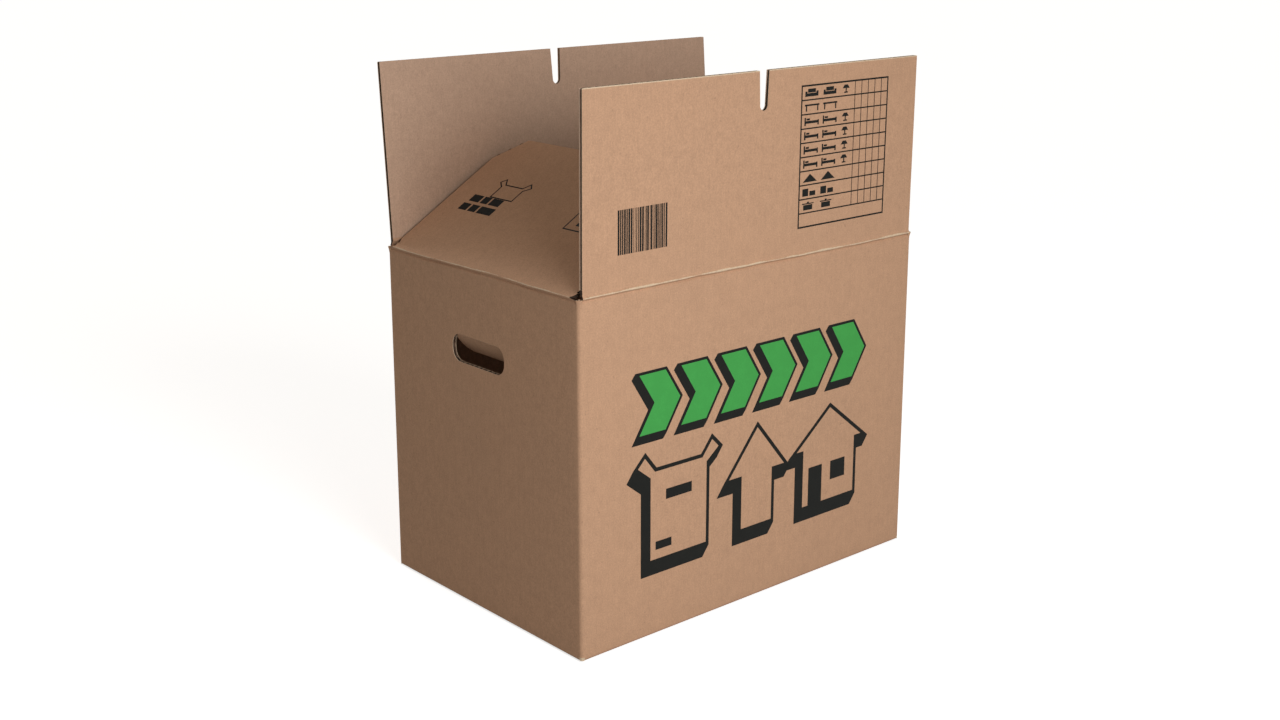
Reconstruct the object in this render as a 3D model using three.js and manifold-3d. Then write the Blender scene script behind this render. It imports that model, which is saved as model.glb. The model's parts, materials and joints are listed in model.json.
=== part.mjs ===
// Moving box: a slotted carton folded from one sheet of single-wall corrugated board, standing open.
// Millimetres, +Z up. The origin is the centre of the base, on the surface that the box stands on.
// X runs along the long sides, -Y is the printed front, and the end panels face -X and +X.

import * as THREE from 'three';
import { mergeVertices } from 'three/addons/utils/BufferGeometryUtils.js';
import Module from 'manifold-3d';

const wasm = await Module();
wasm.setup();

// Room inside the closed box
const insideLength = 480;
const insideWidth = 320;
const insideHeight = 360;

// The board: two flat liners with a wave of paper between them
const board = 4.4;
const liner = 0.55;
const medium = 0.45;
const flutePitch = 8;
const openFluteDepth = 6;

// Folds
const cornerRadius = 4.5;
const creaseGap = 0.3;
const layerGap = 0.4;
const cornerSlotHeight = 4;
const creaseBulge = 1.2;
const creaseBulgeRadius = 2;

// Top flaps. Their angles are in degrees, from 0 for a closed flap to 90 for an upright one.
const flapOverlap = 35;
const longFlapInset = 4.5;
const endFlapClearance = 0.6;
const frontFlapAngle = 90.4;
const backFlapAngle = 94;
const endFlapAngle = 31;
const freeCornerRadius = 3;

// Slot in the middle of each long top flap, by which the closed flaps hook together
const slotMouth = 14;
const slotRoot = 11;
const slotDepth = 41;

// Corners of the end top flaps: cut back at the free edge, and relieved at the crease
const endCornerLength = 38;
const endCornerWidth = 26;
const reliefLength = 10;
const reliefWidth = 7;

// Bottom flaps: the front one reaches a little past the middle, where the back one meets it
const seamGap = 0.6;
const seamPlace = 4;
const bottomEndClearance = 0.6;

// Hand hole in each end panel, with its tongue pushed in and still hinged at the top
const handHoleWidth = 90;
const handHoleHeight = 30;
const handHoleRadius = 13;
const handHoleDrop = 88;
const tongueAngle = 38;
const tongueGap = 1;
const tongueCrease = 0.8;

// Tab that joins the back panel to the right end panel on the inside
const glueTabWidth = 35;
const glueTabSlant = 12;
const glueTabEndGap = 12;
const glueTabStandoff = 0.1;

// Worked out from the sizes above
const outsideLength = insideLength + 2 * board;
const outsideWidth = insideWidth + 2 * board;
const floorHeight = 2 * board + layerGap;
const creaseHeight = floorHeight + insideHeight + board;
const topFlapLength = outsideWidth / 2 + flapOverlap;
const endBottomFlapLength = outsideWidth / 2;
const longFlapWidth = outsideLength - 2 * longFlapInset;
const endFlapWidth = insideWidth - 2 * endFlapClearance;
const endCreaseHeight = board + layerGap;

const kraft = new THREE.MeshStandardMaterial({ color: 0xb8926f, roughness: 0.9, metalness: 0 });

// Solids and geometries

function solidFrom(geometry) {
  const bare = geometry.clone();
  bare.deleteAttribute('normal');
  bare.deleteAttribute('uv');
  const merged = mergeVertices(bare, 1e-4);
  return new wasm.Manifold(new wasm.Mesh({
    numProp: 3,
    vertProperties: new Float32Array(merged.attributes.position.array),
    triVerts: new Uint32Array(merged.index.array),
  }));
}

function geometryFrom(solid) {
  const mesh = solid.getMesh();
  const geometry = new THREE.BufferGeometry();
  geometry.setAttribute('position', new THREE.BufferAttribute(new Float32Array(mesh.vertProperties), 3));
  geometry.setIndex(new THREE.BufferAttribute(new Uint32Array(mesh.triVerts), 1));
  geometry.computeVertexNormals();
  return geometry;
}

// For each direction of extrusion: where the outline's two axes and the extrusion go.
// An outline is drawn in (y, z) for x, in (x, z) for y and in (x, y) for z.
const X = new THREE.Vector3(1, 0, 0);
const Y = new THREE.Vector3(0, 1, 0);
const Z = new THREE.Vector3(0, 0, 1);
const drawing = {
  x: { basis: [Y, Z, X], origin: (from) => X.clone().multiplyScalar(from) },
  y: { basis: [X, Z, Y.clone().negate()], origin: (from, to) => Y.clone().multiplyScalar(to) },
  z: { basis: [X, Y, Z], origin: (from) => Z.clone().multiplyScalar(from) },
};

// Extrudes an outline along one axis, from one coordinate to another
function prism(outline, axis, from, to) {
  const shape = Array.isArray(outline) ? polygon(outline) : outline;
  const settings = { depth: to - from, bevelEnabled: false, curveSegments: 6 };
  const geometry = new THREE.ExtrudeGeometry(shape, settings);
  const placing = new THREE.Matrix4().makeBasis(...drawing[axis].basis);
  placing.setPosition(drawing[axis].origin(from, to));
  geometry.applyMatrix4(placing);
  return solidFrom(geometry);
}

function polygon(points) {
  return new THREE.Shape(points.map(([a, b]) => new THREE.Vector2(a, b)));
}

function turned(solid, matrix) {
  const geometry = geometryFrom(solid);
  geometry.applyMatrix4(matrix);
  return solidFrom(geometry);
}

function union(solids) {
  return solids.reduce((whole, solid) => whole.add(solid));
}

function cut(solid, cutters) {
  return cutters.reduce((rest, cutter) => rest.subtract(cutter), solid);
}

function roundedRectangle(width, height, radius, centreX = 0, centreY = 0) {
  const right = centreX + width / 2 - radius;
  const left = centreX - width / 2 + radius;
  const top = centreY + height / 2 - radius;
  const bottom = centreY - height / 2 + radius;
  const shape = new THREE.Shape();
  shape.absarc(right, top, radius, 0, Math.PI / 2);
  shape.absarc(left, top, radius, Math.PI / 2, Math.PI);
  shape.absarc(left, bottom, radius, Math.PI, 1.5 * Math.PI);
  shape.absarc(right, bottom, radius, 1.5 * Math.PI, 2 * Math.PI);
  return shape;
}

// A block between two heights whose plan grows from one rectangle to another
function frustum(low, lowPlan, high, highPlan) {
  const geometry = new THREE.BoxGeometry(1, 1, 1);
  const position = geometry.attributes.position;
  for (let i = 0; i < position.count; i += 1) {
    const upper = position.getZ(i) > 0;
    const [length, width] = upper ? highPlan : lowPlan;
    position.setXYZ(i, position.getX(i) * length, position.getY(i) * width, upper ? high : low);
  }
  return solidFrom(geometry);
}

// Top flaps. Each is made upright in a frame of its own: x along the crease, y through the board from
// its outer face at 0 to its inner face, z from the crease to the free edge.

// Open flutes in a free edge: a row of three-sided pockets, by turns under one liner and the other.
// edgeAt gives the height of the cut edge at a place along the crease.
function openFlutes(width, edgeAt) {
  const halfBase = flutePitch / 2 - medium;
  const count = Math.floor((width - 2 * openFluteDepth) / flutePitch);
  const pockets = [];
  for (let k = 0; k < count; k += 1) {
    const middle = (k - (count - 1) / 2) * flutePitch;
    const [rising, falling] = [middle - flutePitch / 4, middle + flutePitch / 4];
    const underOuter = [[rising - halfBase, liner], [rising + halfBase, liner],
      [rising, board - liner - medium]];
    const underInner = [[falling + halfBase, board - liner], [falling - halfBase, board - liner],
      [falling, liner + medium]];
    pockets.push(prism(underOuter, 'z', edgeAt(rising) - openFluteDepth, edgeAt(rising) + board));
    pockets.push(prism(underInner, 'z', edgeAt(falling) - openFluteDepth, edgeAt(falling) + board));
  }
  return pockets;
}

// The board is open between its liners along a side edge too: a groove that narrows inwards
function sideGroove(side, edge, from, to) {
  const outline = [
    [side * (edge + 1), liner],
    [side * (edge + 1), board - liner],
    [side * edge, board - liner],
    [side * (edge - flutePitch / 2), board - liner - medium],
    [side * edge, liner],
  ];
  return prism(side > 0 ? outline.reverse() : outline, 'z', from, to);
}

// The crease: the board is pressed back at 45 degrees on its inner side, so that the flap can close
function creaseCutter(width) {
  const start = creaseGap / 2;
  const reach = board + 1;
  const outline = [[-1, -reach], [reach, -reach], [reach, start + reach], [-1, start - 1]];
  return prism(outline, 'x', -width, width);
}

function longFlap() {
  const half = longFlapWidth / 2;
  const cornerX = half - freeCornerRadius;
  const cornerZ = topFlapLength - freeCornerRadius;
  const slotFloor = topFlapLength - slotDepth;
  const outline = new THREE.Shape();
  outline.moveTo(-half, -board);
  outline.lineTo(half, -board);
  outline.absarc(cornerX, cornerZ, freeCornerRadius, 0, Math.PI / 2);
  outline.lineTo(slotMouth / 2, topFlapLength);
  outline.absarc(0, slotFloor + slotRoot / 2, slotRoot / 2, 0, Math.PI, true);
  outline.lineTo(-slotMouth / 2, topFlapLength);
  outline.absarc(-cornerX, cornerZ, freeCornerRadius, Math.PI / 2, Math.PI);
  const sheet = prism(outline, 'y', 0, board);
  const edgeAt = () => topFlapLength;
  const grooveEnds = [board + creaseGap, cornerZ];
  return cut(sheet, [
    creaseCutter(longFlapWidth),
    ...openFlutes(longFlapWidth, edgeAt).filter(clearOfSlot),
    ...[-1, 1].map((side) => sideGroove(side, half, ...grooveEnds)),
  ]);
}

function clearOfSlot(pocket) {
  const { min, max } = pocket.boundingBox();
  const keep = slotMouth / 2 + 1;
  return max[0] < -keep || min[0] > keep;
}

function endFlap() {
  const half = endFlapWidth / 2;
  const shoulder = topFlapLength - endCornerLength;
  const flat = half - endCornerWidth;
  const outline = [
    [-half + reliefWidth, -board],
    [half - reliefWidth, -board],
    [half - reliefWidth, 0],
    [half, reliefLength],
    [half, shoulder],
    [flat, topFlapLength],
    [-flat, topFlapLength],
    [-half, shoulder],
    [-half, reliefLength],
    [-half + reliefWidth, 0],
  ];
  const edgeAt = (x) => {
    const past = Math.max(0, Math.abs(x) - flat);
    return topFlapLength - past * endCornerLength / endCornerWidth;
  };
  return cut(prism(outline, 'y', 0, board), [
    creaseCutter(endFlapWidth),
    ...openFlutes(endFlapWidth, edgeAt),
    ...[-1, 1].map((side) => sideGroove(side, half, reliefLength, shoulder)),
  ]);
}

// Body of the carton

// Four walls, rounded at the upright folds, with the inner side of each top crease pressed back
function walls() {
  const ring = roundedRectangle(outsideLength, outsideWidth, cornerRadius);
  ring.holes.push(polygon([
    [-insideLength / 2, -insideWidth / 2],
    [-insideLength / 2, insideWidth / 2],
    [insideLength / 2, insideWidth / 2],
    [insideLength / 2, -insideWidth / 2],
  ]));
  const top = creaseHeight - creaseGap / 2;
  const inside = [insideLength, insideWidth];
  const beyond = [outsideLength + 2, outsideWidth + 2];
  const press = frustum(top - board, inside, top + 1, beyond);
  return prism(ring, 'z', cornerSlotHeight, top).subtract(press);
}

// Front or back wall's foot, turned under into the outer layer of the bottom
function longBottomFlap(side) {
  const face = side * outsideWidth / 2;
  const inner = side * insideWidth / 2;
  const seam = seamPlace + side * seamGap / 2;
  const outline = new THREE.Shape();
  outline.moveTo(inner, creaseHeight / 2);
  outline.lineTo(inner, board);
  outline.lineTo(seam, board);
  outline.lineTo(seam, 0);
  outline.absarc(face - side * board, board, board, -Math.PI / 2, side > 0 ? 0 : -Math.PI, side < 0);
  outline.lineTo(face, creaseHeight / 2);
  const half = insideLength / 2 - bottomEndClearance;
  return prism(outline, 'x', -half, half);
}

// End wall's foot: the crease bulges down beside the outer layer, and the flap lies on that layer
function endBottomFlap(side) {
  const face = side * outsideLength / 2;
  const inner = side * insideLength / 2;
  const free = side * (outsideLength / 2 - endBottomFlapLength);
  const low = creaseBulge + creaseBulgeRadius;
  const outline = new THREE.Shape();
  outline.moveTo(inner, creaseHeight / 2);
  outline.lineTo(inner, floorHeight);
  outline.lineTo(free, floorHeight);
  outline.lineTo(free, endCreaseHeight);
  outline.lineTo(inner, endCreaseHeight);
  outline.lineTo(inner, creaseBulge);
  outline.absarc(face - side * creaseBulgeRadius, low, creaseBulgeRadius,
    -Math.PI / 2, side > 0 ? 0 : -Math.PI, side < 0);
  outline.lineTo(face, creaseHeight / 2);
  const half = insideWidth / 2 - bottomEndClearance;
  const inward = X.clone().multiplyScalar(-side);
  const along = Y.clone().multiplyScalar(-side);
  const lying = new THREE.Matrix4().makeBasis(along, Z, inward);
  lying.setPosition(face, 0, endCreaseHeight);
  const flutes = openFlutes(2 * half, () => endBottomFlapLength).map((pocket) => turned(pocket, lying));
  return cut(prism(outline, 'y', -half, half), flutes);
}

// The outline of the hand hole in (y, z), or of the smaller tongue that was cut out of it
function handHoleOutline(shrink) {
  return roundedRectangle(
    handHoleWidth - 2 * shrink,
    handHoleHeight - shrink,
    handHoleRadius - shrink,
    0,
    creaseHeight - handHoleDrop + shrink / 2,
  );
}

function handHole(side) {
  const middle = side * (insideLength / 2 + board / 2);
  return prism(handHoleOutline(0), 'x', middle - board, middle + board);
}

// The flutes run upright in the walls, so they lie open along the lower edge of the hole
function handHoleFlutes(side) {
  const lowEdge = creaseHeight - handHoleDrop - handHoleHeight / 2;
  const flat = handHoleWidth / 2 - handHoleRadius;
  const edgeAt = (y) => {
    const past = Math.max(0, Math.abs(y) - flat);
    return lowEdge + handHoleRadius - Math.sqrt(handHoleRadius ** 2 - past ** 2);
  };
  const onWall = new THREE.Matrix4().makeRotationZ(side * Math.PI / 2);
  onWall.setPosition(side * outsideLength / 2, 0, 0);
  return openFlutes(handHoleWidth, edgeAt).map((pocket) => turned(pocket, onWall));
}

// The cut-out piece, turned inwards about a line just under the outer liner at the top of the hole
function tongue(side) {
  const inward = -side;
  const outer = side * outsideLength / 2;
  const [from, to] = [outer, outer + inward * board].sort((a, b) => a - b);
  const plate = prism(handHoleOutline(tongueGap), 'x', from, to);
  const top = creaseHeight - handHoleDrop + handHoleHeight / 2;
  const hinge = new THREE.Vector3(outer + inward * tongueCrease, 0, top);
  const turn = new THREE.Matrix4().makeTranslation(hinge);
  turn.multiply(new THREE.Matrix4().makeRotationY(side * THREE.MathUtils.degToRad(tongueAngle)));
  turn.multiply(new THREE.Matrix4().makeTranslation(hinge.clone().negate()));
  return turned(plate, turn);
}

// Glue tab: folded round from the right end panel and laid on the inside of the back panel
function glueTab() {
  const low = floorHeight + glueTabEndGap;
  const high = creaseHeight - board - glueTabEndGap;
  const fold = insideLength / 2 + board / 2;
  const free = insideLength / 2 - glueTabWidth;
  const outline = [[fold, low], [fold, high], [free, high - glueTabSlant], [free, low + glueTabSlant]];
  const outer = insideWidth / 2 + glueTabStandoff;
  return prism(outline, 'y', outer - board, outer);
}

function cartonBody() {
  const sides = [-1, 1];
  const holes = sides.flatMap((side) => [handHole(side), ...handHoleFlutes(side)]);
  const folded = union([walls(), ...sides.map(longBottomFlap), ...sides.map(endBottomFlap)]);
  return union([cut(folded, holes), ...sides.map(tongue), glueTab()]);
}

// Hangs a flap at its crease: heading turns its outer face the right way, and angle says how far it is open
function atCrease(name, solid, x, y, heading, angle) {
  const mesh = new THREE.Mesh(geometryFrom(solid), kraft.clone());
  mesh.name = name;
  mesh.rotation.x = THREE.MathUtils.degToRad(angle) - Math.PI / 2;
  const holder = new THREE.Group();
  holder.position.set(x, y, creaseHeight);
  holder.rotation.z = heading;
  holder.add(mesh);
  return holder;
}

const group = new THREE.Group();
group.name = 'moving_box';

const body = new THREE.Mesh(geometryFrom(cartonBody()), kraft.clone());
body.name = 'carton_body';
group.add(body);

group.add(atCrease('front_flap', longFlap(), 0, -outsideWidth / 2, 0, frontFlapAngle));
group.add(atCrease('back_flap', longFlap(), 0, outsideWidth / 2, Math.PI, backFlapAngle));
group.add(atCrease('left_end_flap', endFlap(), -outsideLength / 2, 0, -Math.PI / 2, endFlapAngle));
group.add(atCrease('right_end_flap', endFlap(), outsideLength / 2, 0, Math.PI / 2, endFlapAngle));

export default group;
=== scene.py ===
import json
from math import cos, pi, radians, sin

import bpy
import numpy as np
from bpy.props import FloatProperty, FloatVectorProperty, PointerProperty
from bpy.types import Operator, Panel, PropertyGroup
from mathutils import Euler, Matrix, Vector
from mathutils.geometry import delaunay_2d_cdt


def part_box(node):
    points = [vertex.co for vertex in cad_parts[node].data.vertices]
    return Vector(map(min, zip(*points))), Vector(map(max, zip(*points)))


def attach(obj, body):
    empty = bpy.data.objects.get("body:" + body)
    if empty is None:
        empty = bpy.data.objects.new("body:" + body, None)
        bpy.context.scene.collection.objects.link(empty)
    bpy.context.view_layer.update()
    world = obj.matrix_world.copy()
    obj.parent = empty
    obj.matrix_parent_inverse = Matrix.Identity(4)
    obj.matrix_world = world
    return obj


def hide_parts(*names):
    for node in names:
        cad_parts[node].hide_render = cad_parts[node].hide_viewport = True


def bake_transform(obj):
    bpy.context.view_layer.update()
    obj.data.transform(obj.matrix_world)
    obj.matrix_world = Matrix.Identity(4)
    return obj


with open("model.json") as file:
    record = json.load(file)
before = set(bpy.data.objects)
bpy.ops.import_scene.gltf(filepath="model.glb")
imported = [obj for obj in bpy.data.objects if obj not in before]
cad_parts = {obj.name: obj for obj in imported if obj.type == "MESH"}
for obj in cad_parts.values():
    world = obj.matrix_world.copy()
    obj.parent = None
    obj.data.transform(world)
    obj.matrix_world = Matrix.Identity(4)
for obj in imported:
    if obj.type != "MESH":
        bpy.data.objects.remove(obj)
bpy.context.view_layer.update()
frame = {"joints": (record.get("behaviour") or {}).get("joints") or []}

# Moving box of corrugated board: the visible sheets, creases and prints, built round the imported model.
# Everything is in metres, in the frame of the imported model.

bl_info = {
    "name": "Moving Box",
    "version": (1, 0, 0),
    "blender": (4, 5, 0),
    "location": "View3D > Sidebar > Moving Box",
    "description": "Builds an open moving box of corrugated board",
    "category": "Add Mesh",
}

MM = 0.001
BODY_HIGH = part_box("carton_body")[1]
HALF_LENGTH = BODY_HIGH.x
HALF_WIDTH = BODY_HIGH.y
JOINTS = {joint["name"]: joint for joint in frame["joints"]}
CREASE = JOINTS["front_crease"]["pos_m"][2]


def srgb(red, green, blue):
    """Linear colour of an 8-bit display colour: ((c / 255 + 0.055) / 1.055) to the power 2.4."""
    display = np.array([red, green, blue]) / 255
    linear = np.where(display <= 0.04045, display / 12.92, ((display + 0.055) / 1.055) ** 2.4)
    return tuple(float(c) for c in linear)


def length(name, description, millimetres):
    return FloatProperty(name=name, description=description, default=millimetres * MM, min=0, unit="LENGTH")


def colour(name, description, red, green, blue):
    return FloatVectorProperty(name=name, description=description, subtype="COLOR", size=3, min=0, max=1,
                               default=srgb(red, green, blue))


def angle(name, description, degrees):
    return FloatProperty(name=name, description=description, default=radians(degrees), unit="ROTATION")


class MovingBoxSizes(PropertyGroup):
    board: length("Board", "Thickness of the corrugated board", 4.4)
    liner: length("Liner", "Thickness of each flat liner", 0.55)
    medium: length("Medium", "Thickness of the waved paper between the liners", 0.45)
    pitch: length("Flute pitch", "Distance from one wave of the medium to the next", 8)
    corner: length("Corner radius", "Radius of the upright folds", 4.5)
    band: length("Crease band", "Board on each side of a top crease that the scorer has pressed", 8)
    ridge: length("Crease ridge", "Height of the narrow ridge along a top crease", 1.5)
    groove: length("Crease groove", "Depth of the pressed line just below a top crease", 1.3)
    bow: length("Panel bow", "How far the middle of a panel stands out of true", 0.7)
    flap: length("Top flap", "Length of the top flaps from crease to free edge", 199.4)
    slot_depth: length("Slot depth", "Depth of the slot in each long top flap", 41)
    slot_mouth: length("Slot mouth", "Width of the slot at the free edge", 14)
    slot_root: length("Slot root", "Width of the slot at its round end", 11)
    chamfer_length: length("Corner cut length", "Cut corner of an end flap, measured along its side", 38)
    chamfer_width: length("Corner cut width", "Cut corner of an end flap, measured along its free edge", 26)
    relief_length: length("Relief length", "Cut at the foot of an end flap, measured along its side", 16)
    relief_width: length("Relief width", "Cut at the foot of an end flap, measured along the crease", 8)
    hole_width: length("Hand hole width", "Width of the hand hole", 90)
    hole_height: length("Hand hole height", "Height of the hand hole", 30)
    hole_radius: length("Hand hole radius", "Corner radius of the hand hole", 13)
    hole_drop: length("Hand hole drop", "Middle of the hand hole below the top crease", 88)
    tongue_angle: angle("Tongue angle", "How far the cut-out piece of a hand hole is pushed in", 38)
    front_angle: angle("Front flap", "Front top flap, from 0 closed to 90 upright", 90.4)
    back_angle: angle("Back flap", "Back top flap, from 0 closed to 90 upright", 94)
    end_angle: angle("End flaps", "End top flaps, from 0 closed to 90 upright", 31)


class MovingBoxColours(PropertyGroup):
    outer: colour("Outer liner", "Kraft colour of the outside", 190, 151, 122)
    inner: colour("Inner liner", "Kraft colour of the inside", 188, 157, 135)
    # The medium's colour is darkened far below kraft paper's own: painted shade for the hollows between the
    # liners, which shows on cut edges and round the hand holes
    core: colour("Medium", "Colour of the waved paper between the liners", 58, 45, 36)
    cut: colour("Cut edge", "Colour of the paper where a liner is cut through", 212, 190, 162)
    black: colour("Black ink", "Colour of the black print", 20, 21, 19)
    green: colour("Green ink", "Colour of the green print", 68, 158, 77)


def sizes():
    return bpy.context.scene.moving_box_sizes


def colours():
    return bpy.context.scene.moving_box_colours


# Sheets: points (u, v) in the plane of the unfolded board, and the faces between them


def tensor(us, vs, shape=None):
    """Grid over two lists of coordinates, row by row of constant v. shape, if given, maps the grid's
    points: (u, v) goes to shape(u, v)."""
    u, v = np.meshgrid(us, vs)
    corner = np.arange(len(vs) - 1)[:, None] * len(us) + np.arange(len(us) - 1)
    faces = np.stack([corner, corner + 1, corner + len(us) + 1, corner + len(us)], -1).reshape(-1, 4)
    u, v = u.ravel(), v.ravel()
    if shape:
        u, v = shape(u, v)
    return np.stack([u, v], 1), faces


def merged(points, faces):
    """The sheet with points that agree to a micrometre made one."""
    _, first, place = np.unique(np.round(points / 1e-6), axis=0, return_index=True, return_inverse=True)
    return points[first], place.ravel()[faces]


def joined(sheets):
    """One sheet from several that meet."""
    points = np.concatenate([sheet[0] for sheet in sheets])
    starts = np.cumsum([0] + [len(sheet[0]) for sheet in sheets[:-1]])
    faces = np.concatenate([sheet[1] + start for sheet, start in zip(sheets, starts)])
    return merged(points, faces)


def slab(sheet, place, low, high):
    """Closed slab of a sheet between two depths: the faces at place(u, v, low) and place(u, v, high),
    and a wall along each edge that only one face has. Depths are numbers or functions of (u, v)."""
    points, faces = sheet
    u, v = points.T
    depths = [depth(u, v) if callable(depth) else np.full(len(u), depth) for depth in (low, high)]
    vertices = np.concatenate([np.stack(place(u, v, depth), 1) for depth in depths])
    count = len(points)
    starts = faces.ravel()
    ends = np.roll(faces, -1, axis=1).ravel()
    single = ~np.isin(starts * count + ends, ends * count + starts)
    a, b = starts[single], ends[single]
    sides = np.stack([b, a, a + count, b + count], 1)
    shells = [faces, faces[:, ::-1] + count, sides]
    fans = np.concatenate([shell[:, [0, k, k + 1]] for shell in shells for k in range(1, shell.shape[1] - 1)])
    p, q, r = vertices[fans[:, 0]], vertices[fans[:, 1]], vertices[fans[:, 2]]
    if np.einsum("ij,ij->", p, np.cross(q, r)) < 0:
        shells = [shell[:, ::-1] for shell in shells]
    return vertices, shells


# Material numbers of the board's pieces
OUTER, INNER, CORE, CUT = range(4)

# Edges that turn by less than this are shaded smooth
SOFT_EDGE = radians(28)


def highlight_slab(closed, highlighted):
    """The slab with its highlighted outer faces in a fourth shell, which takes a pale colour as a painted
    highlight.
    """
    vertices, (outer, inner, sides) = closed
    return vertices, [outer[~highlighted], inner, sides, outer[highlighted]]


def linked(name, data):
    """New object of that data, in the scene."""
    item = bpy.data.objects.new(name, data)
    bpy.context.scene.collection.objects.link(item)
    return item


def make_piece(name, parts, material_list, body, smooth=SOFT_EDGE):
    """One mesh object from closed slabs. parts gives each slab with the number of its faces' material and of
    its cut edges' material. Faces with a painted highlight, in a fourth shell, take the number CUT."""
    vertices, faces, numbers, start = [], [], [], 0
    for (points, shells), face_number, edge_number in parts:
        vertices.append(points)
        for shell, number in zip(shells, (face_number, face_number, edge_number, CUT)):
            faces += (shell + start).tolist()
            numbers.append(np.full(len(shell), number, np.int32))
        start += len(points)
    mesh = bpy.data.meshes.new(name)
    mesh.from_pydata(np.concatenate(vertices).tolist(), [], faces)
    for material in material_list:
        mesh.materials.append(material)
    mesh.polygons.foreach_set("material_index", np.concatenate(numbers))
    mesh.shade_smooth()
    mesh.set_sharp_from_angle(angle=smooth)
    piece = linked(name, mesh)
    if body:
        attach(piece, body)
    return piece


def steps(start, end, size):
    """Evenly spaced values from start to end, about size apart."""
    return np.linspace(start, end, max(2, int(round(abs(end - start) / size)) + 1))


def smooth_step(t):
    """3 t^2 - 2 t^3 between 0 and 1."""
    t = np.clip(t, 0, 1)
    return t * t * (3 - 2 * t)


def wave(t, seed):
    """Slow uneven wave of about unit height: three sines whose lengths share no measure."""
    waves = ((0.5, 31, 1), (0.3, 73, 2.1), (0.2, 157, 3.3))
    return sum(height * np.sin(t * rate + turn * seed) for height, rate, turn in waves)


# Walls. p runs round the box, counter-clockwise from above, from the left end of the front panel.

# For the front, right, back and left side of a rectangle: directions along it and out of it, and the
# corner where it ends
ALONG = np.array([[1, 0], [0, 1], [-1, 0], [0, -1]])
OUTWARD = np.array([[0, -1], [1, 0], [0, 1], [-1, 0]])
CORNERS = np.array([[1, -1], [1, 1], [-1, 1], [-1, -1]])
HALF_SIZES = np.array([HALF_LENGTH, HALF_WIDTH])

# Height at which the end panels and the corners stop above the floor, and the end panels' rounded foot
END_FOOT = 1.2 * MM
END_ROUNDING = 2 * MM
CORNER_FOOT = 1.5 * MM

# How far the corners stand out at the top creases, how far down that reaches, and how far below those
# creases the corners end
CORNER_FLARE = 1.6 * MM
CORNER_FLARE_DEPTH = 4 * MM
CORNER_DROP = 0.6 * MM

# Slack between the turned-under panels and the flaps on them, and the seam where those panels meet
FOLD_SLACK = 0.4 * MM
SEAM_PLACE = 4 * MM
SEAM_GAP = 0.6 * MM

# Rectangle round a hand hole that its ring of faces fills, and the ring's rows and spine
HOLE_FRAME = (120 * MM, 60 * MM)
RING_ROWS = 6
SPINE_SHARE = 0.62

# Spacing of the grids: round a hand hole, over the panels, above the holes, up the flaps, along their cut
# corners and underneath the box
FRAME_STEP = 10 * MM
PANEL_STEP = 12 * MM
UPPER_STEP = 8 * MM
FLAP_STEP = 15 * MM
CHAMFER_STEP = 6 * MM
BOTTOM_STEP = 20 * MM


def wall_layout():
    """Length of a long straight, of an end straight and of a corner's quarter circle."""
    corner = sizes().corner
    return 2 * (HALF_LENGTH - corner), 2 * (HALF_WIDTH - corner), corner * pi / 2


def run_parts(lengths, distance):
    """Number of the part that each distance along a run of parts falls in, and its share of that part."""
    begins = np.concatenate([[0], np.cumsum(lengths)])
    part = np.clip(np.searchsorted(begins, distance + 1e-9, side="right") - 1, 0, len(lengths) - 1)
    return part, (distance - begins[part]) / lengths[part]


def spokes(side, share):
    """Directions that turn from out of a side, at share 0, to out of the next one, at share 1."""
    heading = share * pi / 2
    return OUTWARD[side] * np.cos(heading)[:, None] + ALONG[side] * np.sin(heading)[:, None]


def board_fold():
    """Radius of the outer face where a long panel turns under."""
    return sizes().board + FOLD_SLACK


def place_wall(p, v, w):
    """Point of the wall at distance p round the box, height v and depth w from the outer face. In plan
    the outer face is a rectangle with round corners, and depth goes inwards. Below the bottom fold
    the long panels turn under on a quarter circle and run in flat. Each panel bows out by
    bow * sin * sin of its two shares."""
    size = sizes()
    long, short, arc = wall_layout()
    turn = size.corner
    lengths = np.array([long, arc, short, arc, long, arc, short, arc])
    part, share = run_parts(lengths, p)
    at_start = (part % 2 == 1) & (share < 1e-5)
    at_end = (part % 2 == 1) & (share > 1 - 1e-5)
    part = (part - at_start + at_end) % 8
    share = np.where(at_start, 1.0, np.where(at_end, 0.0, share))
    side = part // 2
    straight = part % 2 == 0
    fold = board_fold()
    on_long = straight & (side % 2 == 0)
    bend = np.clip((fold - v) / fold, 0, pi / 2)
    under = np.maximum(0, fold - fold * pi / 2 - v)
    inward = np.where(on_long, fold - (fold - w) * np.cos(bend) + under, w)
    height = np.where(on_long, np.where(v < fold, fold - (fold - w) * np.sin(bend), v), v)
    rise = np.clip(v / (CREASE - size.band), 0, 1)
    bow = size.bow * np.sin(pi * rise) * np.sin(pi * share) * (1 + 0.25 * wave(p * 0.2 + v * 0.13, 1.7))
    inward = inward - np.where(straight, bow, 0)
    above_foot = np.maximum(0, END_ROUNDING + END_FOOT - v)
    rounding = END_ROUNDING - np.sqrt(np.maximum(0, END_ROUNDING**2 - above_foot**2))
    on_end = straight & (side % 2 == 1)
    inward = inward + np.where(on_end, rounding * (1 - w / size.board), 0)
    offset = (share - 0.5) * lengths[part]
    middles = OUTWARD * HALF_SIZES
    flat = middles[side] + ALONG[side] * offset[:, None] - OUTWARD[side] * inward[:, None]
    flare = CORNER_FLARE * np.exp(-(((CREASE - v) / CORNER_FLARE_DEPTH) ** 2))
    centres = CORNERS * (HALF_SIZES - turn)
    round_corner = centres[side] + spokes(side, share) * (turn - w + flare)[:, None]
    plan = np.where(straight[:, None], flat, round_corner)
    return plan[:, 0], plan[:, 1], height


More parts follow.
